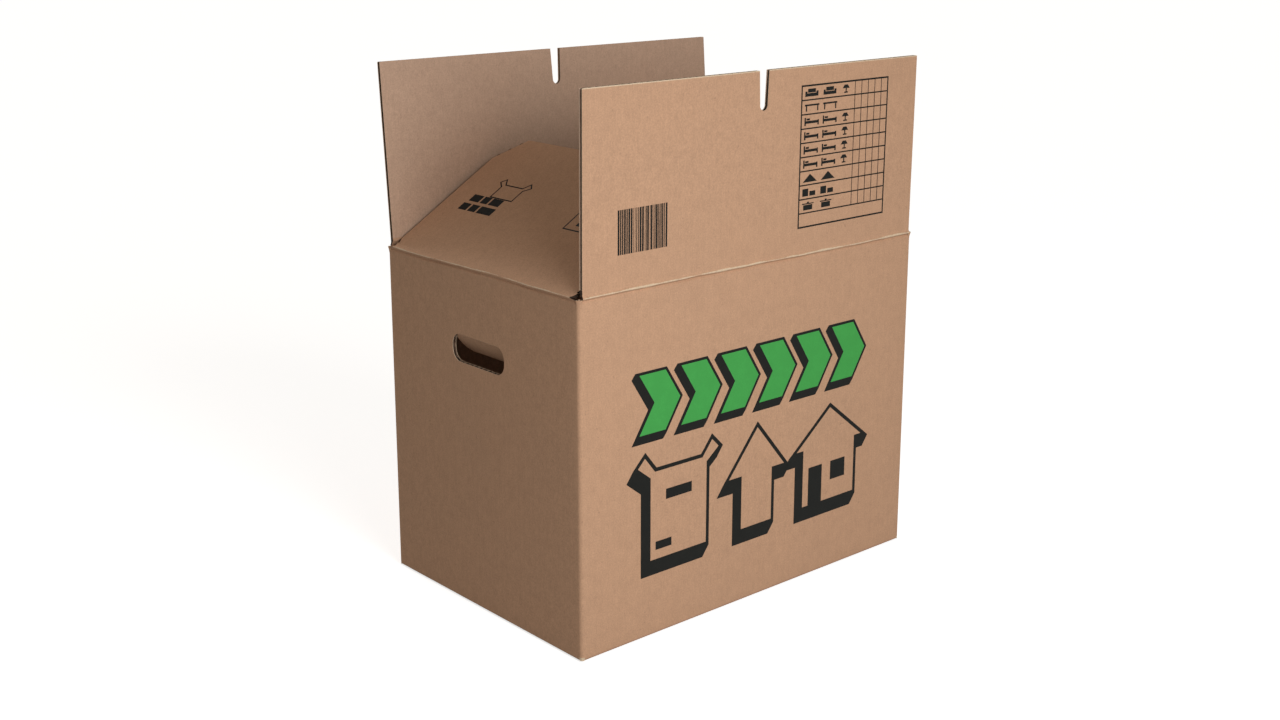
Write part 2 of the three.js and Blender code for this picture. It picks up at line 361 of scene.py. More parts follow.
def hole_outline(t):
    """Rounded rectangle of the hand hole. t runs from 0 to 1 round it, in equal shares of length."""
    size = sizes()
    radius = size.hole_radius
    half = np.array([size.hole_width, size.hole_height]) / 2 - radius
    reach = np.tile(half, 2)
    lengths = np.array([2 * half[0], radius * pi / 2, 2 * half[1], radius * pi / 2] * 2)
    part, share = run_parts(lengths, t * lengths.sum())
    side = part // 2
    middles = OUTWARD * (half + radius)
    straight = middles[side] + ALONG[side] * (reach[side] * (2 * share - 1))[:, None]
    rounded = (CORNERS * half)[side] + spokes(side, share) * radius
    return np.where((part % 2 == 0)[:, None], straight, rounded)


def frame_border():
    """Points round the rectangle that frames a hand hole, as the grid beside it has them. The second
    half of them is the first, turned half round."""
    width, height = HOLE_FRAME
    us = steps(-width / 2, width / 2, FRAME_STEP)
    vs = steps(-height / 2, height / 2, FRAME_STEP)
    low = np.stack([us[:-1], np.full(len(us) - 1, vs[0])], 1)
    right = np.stack([np.full(len(vs) - 1, us[-1]), vs[:-1]], 1)
    half = np.concatenate([low, right])
    return np.concatenate([half, -half])


def ring(middle):
    """Sheet between the framing rectangle and the hand hole. Each border point is joined by a straight
    line to the hole's point that lies nearest in the same direction, seen from a spine along the middle
    of the hole, and the line is cut in rows."""
    border = frame_border()
    fine = hole_outline(np.linspace(0, 1, 2000, endpoint=False))
    spine_end = SPINE_SHARE * sizes().hole_width / 2
    spine = np.stack([np.clip(border[:, 0], -spine_end, spine_end), np.zeros(len(border))], 1)
    direction = border - spine
    direction /= np.linalg.norm(direction, axis=1)[:, None]
    away = fine[None] - spine[:, None]
    reach = np.linalg.norm(away, axis=2)
    best = np.argmax(np.einsum("ijk,ik->ij", away, direction) / reach, axis=1)
    shares = np.linspace(0, 1, RING_ROWS + 1)[:, None, None]
    rows = border[None] * (1 - shares) + fine[best][None] * shares
    count = len(border)
    starts = np.arange(RING_ROWS)[:, None] * count
    corner = (starts + np.arange(count)).ravel()
    beside = (starts + (np.arange(count) + 1) % count).ravel()
    faces = np.stack([corner, beside, beside + count, corner + count], 1)
    return rows.reshape(-1, 2) + np.array(middle), faces


def stretches(*stops):
    """Even steps from each stop to the next one. stops are coordinates with the step between them."""
    parts = [steps(start, end, step) for start, step, end in zip(stops[::2], stops[1::2], stops[2::2])]
    return np.concatenate([parts[0]] + [part[1:] for part in parts[1:]])


def wall_sheet():
    """The walls unfolded: four panels and four corner strips, with a ring round each hand hole."""
    size = sizes()
    long, short, arc = wall_layout()
    top = CREASE - size.band
    fold = board_fold()
    hole_low = CREASE - size.hole_drop - HOLE_FRAME[1] / 2
    hole_high = hole_low + HOLE_FRAME[1]
    upright = stretches(fold, PANEL_STEP, hole_low, FRAME_STEP, hole_high, UPPER_STEP, top)
    turned = fold - fold * np.linspace(pi / 2, 0, 7)[:-1]
    foot = END_FOOT + END_ROUNDING * (1 - np.cos(np.linspace(0, pi / 2, 5)))[:-1]
    post = np.concatenate([[CORNER_FOOT], upright, [CREASE - CORNER_FLARE_DEPTH, CREASE - CORNER_DROP]])
    sheets, rings = [], []
    begin = 0
    for number in range(4):
        if number % 2 == 0:
            seam = SEAM_PLACE if number == 0 else -SEAM_PLACE
            reach = HALF_WIDTH - fold + seam - SEAM_GAP / 2
            flat = steps(turned[0] - reach, turned[0], BOTTOM_STEP)[:-1]
            us = steps(begin, begin + long, PANEL_STEP)
            sheets.append(tensor(us, np.concatenate([flat, turned, upright])))
            begin += long
        else:
            middle = begin + short / 2
            left, right = middle - HOLE_FRAME[0] / 2, middle + HOLE_FRAME[0] / 2
            us = stretches(begin, PANEL_STEP, left, FRAME_STEP, right, PANEL_STEP, begin + short)
            points, faces = tensor(us, np.concatenate([foot, upright]))
            centre = points[faces].mean(axis=1)
            in_frame = abs(centre[:, 0] - middle) < HOLE_FRAME[0] / 2
            in_frame &= (centre[:, 1] > hole_low) & (centre[:, 1] < hole_high)
            sheets.append((points, faces[~in_frame]))
            rings.append(ring((middle, (hole_low + hole_high) / 2)))
            begin += short
        sheets.append(tensor(np.linspace(begin, begin + arc, 7), post))
        begin += arc
    points, faces = joined(sheets + rings)
    return wrapped(points, faces, begin)


def wrapped(points, faces, total):
    """Closes the sheet round the box: points at p = total are those at p = 0. The faces there keep
    their shape because place_wall reads both alike."""
    at_end = np.abs(points[:, 0] - total) < 1e-7
    shifted = points.copy()
    shifted[at_end, 0] = 0
    return merged(shifted, faces)


def medium_slab(sheet, place, phase=0.0):
    """Waved paper of a sheet, with the material numbers of the medium, whose dark colour is painted shade.
    Its middle lies at half the board plus amp * sin(2 pi (u - phase) / pitch)."""
    size = sizes()
    amp = (size.board - 2 * size.liner - size.medium) / 2

    def depth(side):
        """Depth of the paper's face on that side of its middle, -1 for the outer one."""
        middle = (size.board + side * size.medium) / 2
        return lambda u, v: middle + amp * np.sin(2 * pi * (u - phase) / size.pitch)

    return slab(sheet, place, depth(-1), depth(1)), CORE, CORE


def layers(sheet, place, medium_sheet=None, phase=0.0, rim=None, outer_sheet=None):
    """Outer liner, inner liner and waved medium of a sheet, each with its material numbers. Past rim the
    outer liner takes the cut edge's pale colour, a painted highlight. It may have a sheet of its own."""
    size = sizes()
    outer = slab(outer_sheet or sheet, place, 0, size.liner)
    if rim:
        outer = highlight_slab(outer, sheet[0][sheet[1]].mean(axis=1)[:, 1] > rim)
    parts = [(outer, OUTER, CUT), (slab(sheet, place, size.board - size.liner, size.board), INNER, CUT)]
    if medium_sheet is not None:
        parts.append(medium_slab(medium_sheet, place, phase))
    return parts


def hole_medium(middle):
    """Waved paper above and below a hand hole: columns at the flutes' own spacing."""
    size = sizes()
    centre = CREASE - size.hole_drop
    low, high = centre - HOLE_FRAME[1] / 2, centre + HOLE_FRAME[1] / 2
    radius, half = size.hole_radius, size.hole_width / 2
    us = steps(middle - half, middle + half, size.pitch / 8)

    def gap(u):
        """Half the height of the hole at u: the straight part plus the circle of its corner."""
        past = np.clip(np.abs(u - middle) - (half - radius), 0, radius)
        return size.hole_height / 2 - radius + np.sqrt(radius**2 - past**2)

    beneath = tensor(us, [0, 0.5, 1], lambda u, t: (u, low + t * (centre - gap(u) - low)))
    above = tensor(us, [0, 0.5, 1], lambda u, t: (u, centre + gap(u) + t * (high - centre - gap(u))))
    return beneath, above


# Top flaps. u runs along the crease, v from the crease to the free edge, w inwards from the outer face.

FLAPS = {
    "front": {"body": "front_top_flap", "node": "front_flap", "joint": "front_crease", "long": True},
    "back": {"body": "back_top_flap", "node": "back_flap", "joint": "back_crease", "long": True},
    "left": {"body": "left_top_flap", "node": "left_end_flap", "joint": "left_crease", "long": False},
    "right": {"body": "right_top_flap", "node": "right_end_flap", "joint": "right_crease", "long": False},
}

# Gap between the long flaps and what stands between them, and the free corners of the long flaps
FLAP_CLEARANCE = 0.6 * MM
FLAP_CORNER = 1 * MM

# Pale rim painted on a long flap's outer liner, a painted highlight along its top edge, and how far the outer
# liner of an end flap is drawn in, which bares the medium as a dark line of painted shade along its edges
HIGHLIGHT_RIM = 1 * MM
DARK_EDGE_INSET = 3.2 * MM

# Step of the liners' grids along the crease
LINER_STEP = 10 * MM


def flap_axes(key):
    """Origin on the crease, direction along it and direction out of the wall, then the flap's own upright
    and inward directions, turned outwards by its lean."""
    size = sizes()
    joint = JOINTS[FLAPS[key]["joint"]]
    origin = np.array(joint["pos_m"])
    along = np.array(joint["axis"], float)
    outward = np.cross(along, [0, 0, 1])
    opened = {"front": size.front_angle, "back": size.back_angle}.get(key, size.end_angle)
    lean = opened - pi / 2
    up = np.array([0, 0, cos(lean)]) + outward * sin(lean)
    inward = np.array([0, 0, sin(lean)]) - outward * cos(lean)
    return origin, along, outward, up, inward


def place_flap(key):
    """Point of a top flap: origin + along * u + up * v + inward * w, bowed inwards or outwards by
    bow * (0.8 (u / half)^2 + a slow wave), from nothing at the crease to all of it at the free edge."""
    origin, along, _, up, inward = flap_axes(key)
    size = sizes()
    half = HALF_LENGTH if FLAPS[key]["long"] else HALF_WIDTH
    seed = 1.0 + len(key)

    def place(u, v, w):
        free = smooth_step(v / size.flap)
        bow = size.bow * free * (0.8 * (u / half) ** 2 + 0.35 * wave(u * 0.35 + v * 0.1, seed))
        point = origin + along * u[:, None] + up * v[:, None] + inward * (w - bow)[:, None]
        return point.T

    return place


def slot_half(v):
    """Half the width of the slot at v: a half circle at its root, then straight sides that open
    towards the free edge."""
    size = sizes()
    radius = size.slot_root / 2
    start = size.flap - size.slot_depth
    in_circle = np.sqrt(np.maximum(0, radius**2 - (start + radius - v) ** 2))
    share = (v - start - radius) / (size.slot_depth - radius)
    return np.where(v < start + radius, in_circle, radius + share * (size.slot_mouth / 2 - radius))


def long_flap_half():
    return HALF_LENGTH - sizes().corner


def long_flap_sheet(step):
    """Long top flap: a block under the slot and one on each side of it. In the side blocks u is
    squeezed from the slot's side to the flap's edge, and the free corners are rounded."""
    size = sizes()
    half = long_flap_half()
    start = size.flap - size.slot_depth
    radius = size.slot_root / 2
    shares = np.linspace(0, 1, int(round(half / step)) + 1)
    us = np.concatenate([-half * shares[::-1], half * shares[1:]])
    below = tensor(us, steps(size.band, start, FLAP_STEP))
    circle = start + radius * (1 - np.cos(np.linspace(0, pi / 2, 9)))
    free = size.flap - FLAP_CORNER * (1 - np.sin(np.linspace(0, pi / 2, 6)))
    vs = np.concatenate([circle, steps(circle[-1], free[0], PANEL_STEP)[1:], free[1:]])

    def edge(v):
        """Half the flap's width at v, less the rounding of its free corner."""
        past = np.maximum(0, v - (size.flap - FLAP_CORNER))
        return half - FLAP_CORNER + np.sqrt(np.maximum(0, FLAP_CORNER**2 - past**2))

    def beside(side):
        """Maps the share t of the way from the slot to the edge on that side."""
        return lambda t, v: (side * (slot_half(v) + t * (edge(v) - slot_half(v))), v)

    return joined([below, tensor(shares[::-1], vs, beside(-1)), tensor(shares, vs, beside(1))])


def end_flap_half():
    """Half the width of an end flap, clear of the long flaps on both sides."""
    return HALF_WIDTH - sizes().board - FLAP_CLEARANCE


def end_flap_edge(v):
    """Half the width of an end flap at v: relieved at the crease and cut back towards the free edge."""
    size = sizes()
    relief = size.relief_width * np.clip(1 - v / size.relief_length, 0, 1)
    chamfer = size.chamfer_width * np.clip((v - size.flap + size.chamfer_length) / size.chamfer_length, 0, 1)
    return end_flap_half() - relief - chamfer


def end_flap_sheet(step, dark_inset=0.0):
    """End top flap: rows between its two edges, each row an even share of the width at that v. The outer
    liner is drawn in by the length given, which leaves the waved medium in sight there, dark with painted
    shade, as a dark line along the flap's edges."""
    size = sizes()
    count = int(round(2 * end_flap_half() / step))
    shoulder = size.flap - size.chamfer_length
    vs = stretches(size.relief_length, FLAP_STEP, shoulder, CHAMFER_STEP, size.flap)
    vs = np.concatenate([[size.band], vs])
    return tensor(np.linspace(-1, 1, count + 1), vs, lambda t, v: (t * (end_flap_edge(v) - dark_inset), v))


def end_medium_sheet(step):
    """Waved paper of an end flap: columns of constant u, whose ends follow the flap's outline."""
    size = sizes()
    half = end_flap_half()
    us = steps(-half, half, step)
    flat = half - size.chamfer_width

    def shape(u, t):
        past = np.maximum(0, np.abs(u) - flat)
        top = size.flap - past * size.chamfer_length / size.chamfer_width
        past_relief = np.maximum(0, np.abs(u) - half + size.relief_width)
        low = np.maximum(size.band, past_relief * size.relief_length / size.relief_width)
        return u, low + t * (top - low)

    return tensor(us, np.linspace(0, 1, 13), shape)


# Crease bands. s runs across the crease, from -band on the wall to +band on the flap.

# Half the width of the pale strip painted along a long flap's ridge, a painted highlight where the ridge
# catches the light, and its share of that on an end flap's
RIDGE_HIGHLIGHT_HALF = 0.75 * MM
END_HIGHLIGHT_SHARE = 0.4

# Half the widths of the ridge and the groove, and how far the groove lies below the ridge, in mm
RIDGE_HALF = 1.7
GROOVE_HALF = 1.2
GROOVE_DROP = 3.0

# Length over which the band turns from the wall to the flap, the thickness at the pressed line and how
# fast it grows from there, and the least board behind the groove
BEND_LENGTH = 7 * MM
PRESSED = 0.6 * MM
PRESSED_SLOPE = 0.75
LEAST_BOARD = 0.5 * MM

# Lengths over which an end band narrows to its flap, the ridge fades and the board reaches full
# thickness, which it does a little past the band's edge
NARROWING = 1.6 * MM
FADE_LENGTH = 2.5 * MM
THICKENING = 3 * MM
BAND_SPARE = 0.6 * MM

# Grid of a band: where its fine rows begin and end, the spacing of its coarse and fine rows and of its
# columns, and the angle up to which its edges are shaded smooth
FINE_FROM = -5 * MM
FINE_TO = 4 * MM
COARSE_STEP = 0.9 * MM
FINE_STEP = 0.3 * MM
COLUMN_STEP = 2.5 * MM
BAND_EDGE = radians(50)

# How far from the crease the blend of a band starts and ends
BLEND_REACH = 4 * MM


def crease_band(key):
    """Closed band across a top crease, from the wall to the flap, and the points at which its blend
    ends and starts. The wall's and the flap's straight faces are blended by a smooth step round s = 0.
    At the crease the outer face stands up in a ridge, exp(-(s / RIDGE_HALF)^2), with pale paper painted along
    its top as a painted highlight, and a groove pressed in below it, exp(-((s + GROOVE_DROP) /
    GROOVE_HALF)^2), both uneven along the crease. On the inner side the board is pressed thin: PRESSED +
    PRESSED_SLOPE * |s|."""
    size = sizes()
    origin, along, outward, flap_up, flap_in = flap_axes(key)
    long = FLAPS[key]["long"]
    straight = long_flap_half() if long else HALF_WIDTH - size.corner
    wall_up = np.array([0, 0, 1.0])
    wall_in = -outward
    seed = 2.0 + len(key)

    def width(s):
        """Half the band's width at s. On an end panel it narrows to the flap's foot below the crease."""
        if long:
            return np.full(len(s), straight)
        foot = end_flap_half() - size.relief_width
        on_wall = straight + (foot - straight) * smooth_step((s + NARROWING) / NARROWING)
        return np.where(s < 0, on_wall, end_flap_edge(s))

    def wander(u):
        """How far the ridge lies from s = 0 at u along the crease."""
        return (0.5 * wave(u * 0.9, seed + 4) + 0.9 * wave(u * 0.2, seed + 5)) * MM

    def place(t, s, w):
        u = t * width(s)
        m = smooth_step((s + BEND_LENGTH / 2) / BEND_LENGTH)[:, None]
        middle = origin + along * u[:, None] + (wall_up * (1 - m) + flap_up * m) * s[:, None]
        inward = wall_in * (1 - m) + flap_in * m
        inward /= np.linalg.norm(inward, axis=1)[:, None]
        across_crease = (s + wander(u)) / MM
        on_ridge = np.exp(-((across_crease / RIDGE_HALF) ** 2))
        in_groove = np.exp(-(((across_crease + GROOVE_DROP) / GROOVE_HALF) ** 2))
        ridge = size.ridge * (1 + 0.4 * wave(u, seed)) * on_ridge
        groove = size.groove * (1 + 0.4 * wave(u * 0.6, seed + 2)) * in_groove
        pressed_in = (groove - ridge) * smooth_step((size.band - np.abs(s)) / FADE_LENGTH)
        thickness = np.minimum(size.board, PRESSED + PRESSED_SLOPE * np.abs(s))
        thinned = smooth_step((size.band + BAND_SPARE - np.abs(s)) / THICKENING)
        thickness = size.board + (thickness - size.board) * thinned
        depth = np.where(w < 0.5, pressed_in, np.maximum(thickness, pressed_in + LEAST_BOARD))
        return (middle + inward * depth[:, None]).T

    count = int(round(2 * straight / COLUMN_STEP))
    rows = stretches(-size.band, COARSE_STEP, FINE_FROM, FINE_STEP, FINE_TO, COARSE_STEP, size.band)
    points, faces = tensor(np.linspace(-1, 1, count + 1), rows)
    middles = points[faces].mean(axis=1)
    us = middles[:, 0] * straight
    # Faces along the ridge's top take the cut edge's pale colour: a painted highlight
    half = (1 if long else END_HIGHLIGHT_SHARE) * RIDGE_HIGHLIGHT_HALF * (1 + 0.9 * wave(us * 1.6, seed + 9))
    highlighted = np.abs(middles[:, 1] + wander(us)) < half
    band = highlight_slab(slab((points, faces), place, 0, 1), highlighted)
    return band, origin + flap_up * BLEND_REACH, origin - wall_up * BLEND_REACH


# Prints: outlines in the plane of a panel, filled with triangles


def signed_area(polygon):
    """Area of a polygon, negative where it runs clockwise: half the sum of x y' - x' y of its sides."""
    x, y = polygon.T
    return np.sum(x * np.roll(y, -1) - np.roll(x, -1) * y) / 2


def wound(polygon):
    """The polygon, turned counter-clockwise."""
    return polygon if signed_area(polygon) > 0 else polygon[::-1]


def grown(polygon, distance):
    """The polygon with each side moved out by a distance, and its corners where those sides meet."""
    polygon = wound(polygon)
    side = np.roll(polygon, -1, axis=0) - polygon
    side /= np.linalg.norm(side, axis=1)[:, None]
    normal = np.stack([side[:, 1], -side[:, 0]], 1)
    before = np.roll(normal, 1, axis=0)
    mitre = (normal + before) / (1 + np.sum(normal * before, axis=1))[:, None]
    return polygon + distance * mitre


def swept(polygon, shift):
    """The outlines that a polygon covers on its way along a shift: itself at both ends, and the
    parallelogram of each side."""
    polygon = wound(polygon)
    moved = polygon + shift
    after = np.roll(np.arange(len(polygon)), -1)
    quads = [np.array([polygon[a], polygon[b], moved[b], moved[a]]) for a, b in enumerate(after)]
    return [polygon, moved] + [wound(quad) for quad in quads if abs(signed_area(quad)) > 1e-8]


# Grid of the points inside a print, and how far it lies from the outline's lowest corner
FILL_STEP = 20 * MM
FILL_OFFSET = 3.7 * MM


def filled(covering, leaving=()):
    """Sheet of triangles over every point that some covering outline holds and no leaving one does.
    Extra points inside let it follow a bowed panel."""
    outlines = [wound(outline) for outline in list(covering) + list(leaving)]
    points = np.concatenate(outlines)
    starts = np.cumsum([0] + [len(outline) for outline in outlines[:-1]])
    loops = [list(range(start, start + len(outline))) for start, outline in zip(starts, outlines)]
    low, high = points.min(axis=0), points.max(axis=0)
    inside = np.meshgrid(*(np.arange(start, end, FILL_STEP) for start, end in zip(low, high)))
    points = np.concatenate([points, np.stack(inside, -1).reshape(-1, 2) + FILL_OFFSET])
    result = delaunay_2d_cdt([Vector(p) for p in points.tolist()], [], loops, 1, 1e-7)
    vertices, triangles, sources = np.array([tuple(v) for v in result[0]]), result[2], result[5]
    kept = np.array([triangle for triangle, source in zip(triangles, sources)
                     if source and max(source) < len(covering)])
    used, place = np.unique(kept, return_inverse=True)
    return vertices[used], place.reshape(kept.shape)


def box_outline(x0, y0, x1, y1):
    return np.array([[x0, y0], [x1, y0], [x1, y1], [x0, y1]]) * MM


def chevron(x, y, width, height, point):
    """Right-pointing chevron: a band whose middle stands out by point."""
    return np.array([[x, y], [x + width, y], [x + width + point, y + height / 2], [x + width, y + height],
                     [x, y + height], [x + point, y + height / 2]]) * MM


def mirrored(x, y, width, half):
    """Symmetric outline, given by its left half from the foot up: each point's distance from the side,
    and its height. A last point on the middle line isn't doubled."""
    half = np.array(half, float)
    right = half * (-1, 1) + (width, 0)
    left = half[1:-1] if half[-1, 0] == width / 2 else half[1:]
    return (np.concatenate([half[:1], right, left[::-1]]) + (x, y)) * MM


def block_arrow(x, y, width, height, shaft, head):
    """Arrow pointing up, with a shaft of the given width and a head of the given height."""
    side, neck = (width - shaft) / 2, height - head
    return mirrored(x, y, width, [(side, 0), (side, neck), (0, neck), (width / 2, height)])


def house(x, y, width, height, roof, eaves):
    """House front: walls, and a roof that stands out by the eaves on both sides."""
    wall = height - roof
    return mirrored(x, y, width, [(eaves, 0), (eaves, wall), (0, wall), (width / 2, height)])


def open_carton(x, y, width, height, flap):
    """Open box seen from the front: a rectangle with a flap standing out to each side of its top."""
    top = height - flap
    return mirrored(x, y, width, [(flap, 0), (flap, top - flap / 3), (0, top + flap * 0.45),
                                  (flap * 0.55, height), (flap * 1.35, top)])


# Materials


def shader(name):
    """New node material: the material, its tree and its Principled BSDF."""
    material = bpy.data.materials.new(name)
    material.use_nodes = True
    return material, material.node_tree, material.node_tree.nodes["Principled BSDF"]


def put(tree, kind, inputs=(), **settings):
    """Adds a node. inputs pairs a socket's name or number with a value or an output to link."""
    node = tree.nodes.new(kind)
    for name, value in settings.items():
        setattr(node, name, value)
    for name, value in dict(inputs).items():
        if isinstance(value, bpy.types.NodeSocket):
            tree.links.new(value, node.inputs[name])
        else:
            node.inputs[name].default_value = value
    return node


def arithmetic(tree, operation, a, b=0.0, c=0.0):
    return put(tree, "ShaderNodeMath", {0: a, 1: b, 2: c}, operation=operation).outputs[0]


def noise(tree, place, scale, detail, roughness=0.5):
    return put(tree, "ShaderNodeTexNoise", {"Vector": place, "Scale": scale, "Detail": detail,
                                            "Roughness": roughness}).outputs[0]


def mixed(tree, share, first, second, blend="MIX"):
    """Colour that a share mixes from two."""
    return put(tree, "ShaderNodeMix", {0: share, 6: first, 7: second}, data_type="RGBA",
               blend_type=blend).outputs[2]


# How much the layers of kraft paper's pattern change its brightness. The stripes over the flutes are painted
# shade of the liner's ripple.
CLOUD = 0.05
GRAIN = 0.62
BLOTCH = 0.20
FIBRE = 0.20
SPECK = 0.16
FLUTE_STRIPE_SHADE = 0.008

# Surface of paper and ink: depth and strength of the paper's relief, roughness and reflection
RELIEF_DEPTH = 0.06 * MM
RELIEF_STRENGTH = 0.35
PAPER_ROUGHNESS = 0.88
PAPER_SPECULAR = 0.22
INK_ROUGHNESS = 0.7
INK_SPECULAR = 0.12


def fibre_pattern(tree, across):
    """Brightness round 1 of kraft paper, and its height: a cloud, a fine grain, long fibres that run along
    the board's flutes, sparse dark specks, and faint stripes over the flutes beneath, painted shade of the
    liner's ripple, which the height has too. across is 0 where the flutes stand side by side along x, and 1
    along y."""
    place = put(tree, "ShaderNodeTexCoord").outputs["Object"]
    upright = put(tree, "ShaderNodeMapping", {"Vector": place, "Scale": (900.0, 900.0, 120.0)}).outputs[0]
    cloud = noise(tree, place, 9.0, 4.0, 0.55)
    grain = noise(tree, place, 620.0, 3.0, 0.7)
    blotch = noise(tree, place, 95.0, 3.0, 0.6)
    fibre = noise(tree, upright, 1.0, 2.0)
    speck = noise(tree, place, 210.0, 1.0)
    dark = put(tree, "ShaderNodeMapRange", {0: speck, "From Min": 0.74, "From Max": 0.8, "To Max": SPECK})
    split = put(tree, "ShaderNodeSeparateXYZ", {0: place})
    turns = arithmetic(tree, "MULTIPLY", split.outputs[across], 2 * pi / sizes().pitch)
    stripe = arithmetic(tree, "SINE", turns)
    shade = 1.0
    for layer, strength in ((cloud, CLOUD), (grain, GRAIN), (blotch, BLOTCH), (fibre, FIBRE)):
        below = arithmetic(tree, "SUBTRACT", shade, strength / 2)
        shade = arithmetic(tree, "MULTIPLY_ADD", layer, strength, below)
    # Faint stripes over the flutes: painted shade of the ripple in the liner
    shade = arithmetic(tree, "MULTIPLY_ADD", stripe, FLUTE_STRIPE_SHADE, shade)
    shade = arithmetic(tree, "SUBTRACT", shade, dark.outputs[0])
    relief = arithmetic(tree, "MULTIPLY_ADD", stripe, 0.35, arithmetic(tree, "MULTIPLY", grain, 0.5))
    return shade, relief, cloud


def opaque(base):
    return tuple(base) + (1,)


def kraft(name, base, across, warm=0.012):
    """Kraft liner: the base colour times the fibre pattern, a little warmer where the cloud is light."""
    material, tree, bsdf = shader(name)
    shade, relief, cloud = fibre_pattern(tree, across)
    red, green, blue = base
    cool = opaque((red * (1 - warm), green, blue * (1 + warm)))
    hot = opaque((red * (1 + warm), green, blue * (1 - warm)))
    grey = put(tree, "ShaderNodeCombineXYZ", {0: shade, 1: shade, 2: shade}).outputs[0]
    paint = mixed(tree, 1.0, mixed(tree, cloud, cool, hot), grey, "MULTIPLY")
    tree.links.new(paint, bsdf.inputs["Base Color"])
    bump = put(tree, "ShaderNodeBump", {"Height": relief, "Strength": RELIEF_STRENGTH,
                                        "Distance": RELIEF_DEPTH})
    tree.links.new(bump.outputs[0], bsdf.inputs["Normal"])
    bsdf.inputs["Roughness"].default_value = PAPER_ROUGHNESS
    bsdf.inputs["Specular IOR Level"].default_value = PAPER_SPECULAR
    return material


def ink(name, base, light):
    """Flexographic ink on kraft: the ink's colour, thinned here and there by a fine noise."""
    material, tree, bsdf = shader(name)
    place = put(tree, "ShaderNodeTexCoord").outputs["Object"]
    both = arithmetic(tree, "MULTIPLY", noise(tree, place, 700.0, 3.0), noise(tree, place, 60.0, 3.0))
    thin = put(tree, "ShaderNodeMapRange", {"Value": both, "From Min": 0.2, "From Max": 0.5}).outputs[0]
    tree.links.new(mixed(tree, thin, opaque(base), opaque(light)), bsdf.inputs["Base Color"])
    bsdf.inputs["Roughness"].default_value = INK_ROUGHNESS
    bsdf.inputs["Specular IOR Level"].default_value = INK_SPECULAR
    return material


# How much lighter each ink is where it lies thin
THINNED = {"black": 1.5, "green": 1.12}


def material_for(key):
    """The material of that name, made once. The name's first word is the kind, its second the colour."""
    if key in bpy.data.materials:
        return bpy.data.materials[key]
    kind, shade = key.split("_")[:2]
    base = tuple(getattr(colours(), shade))
    if kind == "kraft":
        return kraft(key, base, 1 if key.endswith("_across_y") else 0)
    return ink(key, base, tuple(THINNED[shade] * c for c in base))


def board_materials(across):
    """Outer liner, inner liner, medium darkened with painted shade, and cut edge, for flutes side by side
    along x or along y.
    """
    return [material_for("kraft_" + part + "_across_" + across) for part in ("outer", "inner", "core", "cut")]


# Operators


class MOVINGBOX_OT_walls(Operator):
    """Walls of both liners, turned under into the outer bottom flaps, with a hand hole in each end"""
    bl_idname = "moving_box.walls"
    bl_label = "Walls"

    def execute(self, context):
        parts = layers(wall_sheet(), place_wall)
        long, short, arc = wall_layout()
        for middle in (long + arc + short / 2, 2 * long + 3 * arc + 1.5 * short):
            parts += [medium_slab(patch, place_wall, middle) for patch in hole_medium(middle)]
        walls = make_piece("carton_walls", parts, board_materials("x") + board_materials("y"), "carton")
        assign_by_side(walls)
        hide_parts("carton_body")
        return {"FINISHED"}


def assign_by_side(piece):
    """Gives the faces of the end panels the materials whose flutes stand side by side along y, and the
    raw feet of the four corners the colour of a cut edge."""
    mesh = piece.data
    centres = np.zeros(len(mesh.polygons) * 3, np.float32)
    numbers = np.zeros(len(mesh.polygons), np.int32)
    mesh.polygons.foreach_get("center", centres)
    mesh.polygons.foreach_get("material_index", numbers)
    centres = centres.reshape(-1, 3)
    corner = sizes().corner
    on_end = np.abs(centres[:, 0]) > HALF_LENGTH - corner
    raw = on_end & (np.abs(centres[:, 1]) > HALF_WIDTH - corner) & (centres[:, 2] < board_fold())
    across_y = numbers + len(mesh.materials) // 2
    numbers = np.where(raw, CUT, np.where(on_end, across_y, numbers))
    mesh.polygons.foreach_set("material_index", numbers.astype(np.int32))


# How far the inner bottom flaps' free edges lift off the outer ones, and the flaps' grid
FREE_LIFT = 1.5 * MM
INWARD_STEP = 13 * MM


class MOVINGBOX_OT_bottom_flaps(Operator):
    """The two end bottom flaps that lie inside on the outer ones, their free edges cut across the flutes"""
    bl_idname = "moving_box.bottom_flaps"
    bl_label = "Inner bottom flaps"

    def execute(self, context):
        size = sizes()
        half = end_flap_half()
        reach = HALF_WIDTH
        low = board_fold()
        fine = tensor(steps(-half, half, size.pitch / 8), steps(size.board, reach, 2 * INWARD_STEP))
        plain = tensor(steps(-half, half, LINER_STEP), steps(size.board, reach, INWARD_STEP))
        for side, name in ((-1, "left"), (1, "right")):
            def place(u, v, w):
                """Flat sheet that runs inwards from the end panel, its free edge lifted unevenly."""
                uneven = 0.6 + 0.4 * wave(u * 0.3, 3 + side)
                lift = FREE_LIFT * smooth_step((v - 0.3 * reach) / (0.7 * reach)) * uneven
                return side * (HALF_LENGTH - v), u * -side, low + w + lift
            parts = layers(plain, place, fine)
            flap = make_piece(name + "_inner_bottom_flap", parts, board_materials("y"), "carton")
            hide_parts("carton_body")
        return {"FINISHED"}


# Gap round a tongue, the depth of its hinge in the board, and how far it curls
TONGUE_GAP = 1 * MM
HINGE_DEPTH = 0.8 * MM
TONGUE_CURL = 1 * MM


